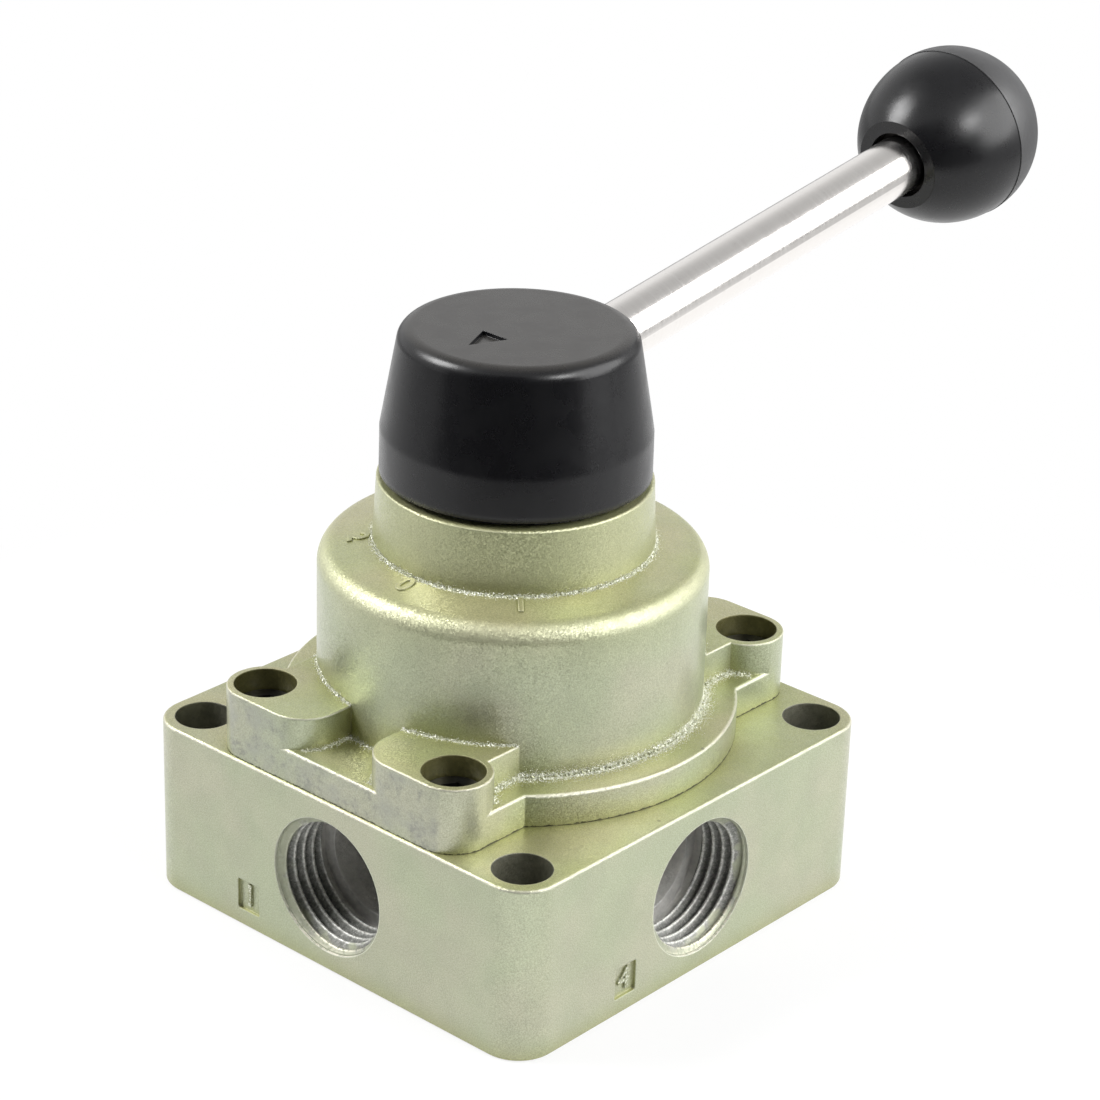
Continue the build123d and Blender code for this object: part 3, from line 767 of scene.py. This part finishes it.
def bead_rows(path, radius, seed):
    """Rings of a lumpy bead that follows a level path of points and tapers over its last few rings."""
    rng = random.Random(seed)
    rows = []
    last = len(path) - 1
    for i, point in enumerate(path):
        along = (path[min(i + 1, last)] - path[max(i - 1, 0)]).normalized()
        out = along.cross(Vector((0, 0, 1))).normalized()
        up = out.cross(along)
        end_share = min(1.0, (min(i, last - i) + 0.3) / 3)
        size = radius * end_share * rng.uniform(0.7, 1.15)
        shift = (out * rng.uniform(-0.35, 0.35) + up * rng.uniform(-0.25, 0.35)) * radius
        turn = rng.uniform(0, 1)
        row = []
        for j in range(bead_sides):
            angle = 2 * math.pi * (j + turn) / bead_sides
            reach = size * rng.uniform(0.75, 1.2)
            row.append(point + shift + out * math.cos(angle) * reach + up * math.sin(angle) * reach)
        rows.append(row)
    return rows


def arc_points(radius, z, start, stop, centre=(0.0, 0.0)):
    """Points on a level arc, from one azimuth to the other in degrees."""
    count = max(4, int(abs(math.radians(stop - start)) * radius / path_step))
    points = []
    for i in range(count + 1):
        a = math.radians(start + (stop - start) * i / count)
        points.append(Vector((centre[0] + radius * math.cos(a), centre[1] + radius * math.sin(a), z)))
    return points


def line_points(a, b):
    """Points on a straight line."""
    a, b = Vector(a), Vector(b)
    count = max(2, int((b - a).length / path_step))
    return [a.lerp(b, i / count) for i in range(count + 1)]


def grain_mesh(name, path, inside, spread, slope, count, seed):
    """Loose grains of paint along a corner: some stand on its floor and some up its wall.

    The point inside lies on the wall's side of the path, and slope is how steeply the floor falls away.
    """
    rng = random.Random(seed)
    points = []
    faces = []
    for i in range(len(path) - 1):
        along = (path[i + 1] - path[i]).normalized()
        out = along.cross(Vector((0, 0, 1)))
        if out.dot(path[i] - Vector((*inside, path[i].z))) < 0:
            out = -out
        for _ in range(count):
            reach = rng.gauss(0, spread)
            size = rng.uniform(*grain_sizes) * MM * max(0.5, 1.0 - abs(reach) / (3 * spread))
            centre = path[i].lerp(path[i + 1], rng.random())
            if reach > 0:
                reach *= floor_share
                centre = centre + out * reach + Vector((0, 0, -reach * slope))
            else:
                centre = centre + Vector((0, 0, -reach))
            first = len(points)
            turn_axis = Vector((rng.random(), rng.random(), rng.random()))
            turn = Matrix.Rotation(rng.uniform(0, math.pi), 3, turn_axis)
            for axis in ((1, 0, 0), (-1, 0, 0), (0, 1, 0), (0, -1, 0), (0, 0, 1), (0, 0, -1)):
                points.append(centre + turn @ Vector(axis) * size * rng.uniform(0.7, 1.35))
            for a, b in ((0, 2), (2, 1), (1, 3), (3, 0)):
                faces.append((first + a, first + b, first + 4))
                faces.append((first + b, first + a, first + 5))
    mesh = bpy.data.meshes.new(name)
    mesh.from_pydata(points, [], faces)
    return mesh


def add_bead(kind, number, path, inside, seed, slope=0.0):
    """One corner's lumpy bead and the loose grains on both sides of it."""
    name = kind + number
    size, spread, count = beads[kind]
    mesh = sweep_mesh("bead_" + name, bead_rows(path, size * MM, seed))
    finish_piece("bead_" + name, mesh, BODY, finishes["bead"], smooth=False)
    mesh = grain_mesh("grains_" + name, path, inside, spread * MM, slope, count, seed + 100)
    finish_piece("grains_" + name, mesh, BODY, finishes["grain"], smooth=False)


def make_beads():
    """The rough beads of paint in the casting's inner corners. Each has a seed of its own."""
    axis = (0, 0)
    neck = arc_points(neck_foot_radius, shoulder_top, 0, 360)
    add_bead("neck", "", neck, axis, 11, math.tan(math.radians(shoulder_slope)))
    y_edge = math.sqrt(dome_radius ** 2 - lug_relief_x ** 2)
    edge_angle = math.degrees(math.atan2(y_edge, lug_relief_x))
    inner_angle = math.degrees(math.acos(lug_inner_x / dome_radius))
    y_inner = dome_radius * math.sin(math.radians(inner_angle))
    gap = 90 - inner_angle
    for i, side in enumerate((0, 180)):
        foot = arc_points(dome_radius, flange_top, side - edge_angle, side + edge_angle)
        add_bead("foot", "_%d" % i, foot, axis, 21 + i)
        between_lugs = arc_points(dome_radius, flange_top, side + 90 - gap, side + 90 + gap)
        add_bead("gap", "_%d" % i, between_lugs, axis, 31 + i)

    # The lines of the lug at +X and +Y, which are mirrored to the other three
    wall_end = screw_y - boss_start_before_screw
    wall = line_points((lug_relief_x, y_edge, flange_top), (lug_relief_x, wall_end, flange_top))
    wall += arc_points(boss_radius, flange_top, boss_start, boss_stop, (screw_x, screw_y))[1:]
    corner_x, corner_y = lug_inner_x + lug_corner_radius, plate_half_y - lug_corner_radius
    inner = line_points((lug_inner_x, y_inner, flange_top), (lug_inner_x, corner_y, flange_top))
    inner += arc_points(lug_corner_radius, flange_top, 180, 130, (corner_x, corner_y))[1:]
    top = arc_points(dome_radius, lug_top, edge_angle, inner_angle)
    for i, (sx, sy) in enumerate(((1, 1), (1, -1), (-1, 1), (-1, -1))):
        lug_middle = (sx * lug_middle_x, sy * lug_middle_y)
        for kind, line, inside in (("top", top, axis), ("wall", wall, lug_middle),
                                   ("inner", inner, lug_middle)):
            line = [Vector((sx * p.x, sy * p.y, p.z)) for p in line]
            add_bead(kind, "_%d" % i, line, inside, 41 + 10 * i + len(kind))


def make_thread(name, azimuth, material):
    """The thread in one port: a thin sleeve whose inner face is a helix of rounded crests."""
    around = 144
    rows_per_pitch = 20
    length = thread_stop - thread_start
    count = int(length / thread_pitch * rows_per_pitch)
    bm = bmesh.new()

    def vertex(j, radius, depth):
        angle = 2 * math.pi * j / around
        aside, high = radius * math.sin(angle), radius * math.cos(angle)
        return bm.verts.new((aside, -base_half + depth, port_z + high))

    grid = []
    for i in range(count + 1):
        depth = thread_start + length * i / count
        fade = min(1.0, (depth - thread_start) / thread_runout, (thread_stop - depth) / (thread_runout * 0.5))
        row = []
        for j in range(around):
            phase = (depth / thread_pitch + first_turn - j / around) % 1.0
            height = max(0.0, min(1.0, (1 - abs(2 * phase - 1)) * crest_stretch - crest_offset))
            rise = (thread_root_radius - thread_crest_radius) * height * max(0.0, fade)
            row.append(vertex(j, thread_root_radius - rise, depth))
        grid.append(row)
    for depth in (thread_stop, thread_start):
        grid.append([vertex(j, thread_outer_radius, depth) for j in range(around)])
    for i in range(len(grid)):
        a, b = grid[i], grid[(i + 1) % len(grid)]
        for j in range(around):
            k = (j + 1) % around
            bm.faces.new((a[j], a[k], b[k], b[j]))
    bmesh.ops.recalc_face_normals(bm, faces=bm.faces)
    facing = Matrix.Rotation(math.radians(azimuth), 3, "Z")
    bmesh.ops.rotate(bm, verts=bm.verts, cent=(0, 0, 0), matrix=facing)
    mesh = bpy.data.meshes.new(name)
    bm.to_mesh(mesh)
    bm.free()
    finish_piece(name, mesh, BODY, material)


def make_numeral(name, text, size, stretch, depth, place, material):
    """A raised cast numeral, with its face along the placement's +Z. stretch widens its strokes."""
    curve = bpy.data.curves.new(name + "_outline", "FONT")
    curve.body = text
    curve.size = size
    curve.align_x = "CENTER"
    curve.align_y = "CENTER"
    curve.extrude = depth / 2
    curve.bevel_depth = depth * 0.22
    curve.bevel_resolution = 2
    curve.offset = size * stretch
    holder = bpy.data.objects.new(name + "_outline", curve)
    bpy.context.scene.collection.objects.link(holder)
    mesh = bpy.data.meshes.new_from_object(holder)
    bpy.data.objects.remove(holder)
    mesh.name = name
    mesh.transform(place)
    finish_piece(name, mesh, BODY, material, smooth=False)


def make_port_numerals(material):
    """The port numbers in the sunk labels beside the ports."""
    offset, height, floor_depth, lift = 16.0 * MM, 5.2 * MM, 0.5 * MM, 0.1 * MM
    size, depth = 5.0 * MM, 0.34 * MM
    stand = Matrix.Rotation(math.radians(90), 4, "X")
    upright = Matrix.Translation((-offset, floor_depth - base_half - lift, height)) @ stand
    for text, azimuth in port_azimuths.items():
        place = Matrix.Rotation(math.radians(azimuth), 4, "Z") @ upright
        make_numeral("port_number_" + text, text, size, 0.0, depth, place, material)


def make_position_numerals(material):
    """The three lever positions, cast on the bonnet's shoulder."""
    radius, size, stretch, depth = 22.4 * MM, 4.3 * MM, 0.025, 0.30 * MM
    z = shoulder_top - (radius - neck_foot_radius) * math.tan(math.radians(shoulder_slope))
    lie = Matrix.Translation((0, -radius, z)) @ Matrix.Rotation(math.radians(shoulder_slope), 4, "X")
    for text, azimuth in position_azimuths.items():
        place = Matrix.Rotation(math.radians(azimuth + 90), 4, "Z") @ lie
        make_numeral("position_mark_" + text, text, size, stretch, depth, place, material)


finishes = dress_nodes()
finishes["bead"] = make_bead_paint("paint_beads", srgb(214, 217, 200), srgb(150, 153, 122))
# The loose grains are near white, which stands in for their glints: painted highlight.
finishes["grain"] = make_bead_paint("paint_grains", srgb(252, 252, 246), srgb(208, 210, 190))
make_beads()
thread_metal = make_thread_metal()
for number, azimuth in port_azimuths.items():
    make_thread("port_thread_" + number, azimuth, thread_metal)
# The port numbers take the paler bead paint, which stands in for the light on their raised strokes: painted
# highlight.
make_port_numerals(finishes["bead"])
make_position_numerals(finishes["bonnet"])
make_floor()
make_world()
make_flag()
for soft_light in soft_lights:
    make_softbox(*soft_light)
make_camera()
bpy.context.scene.view_settings.view_transform = "Standard"
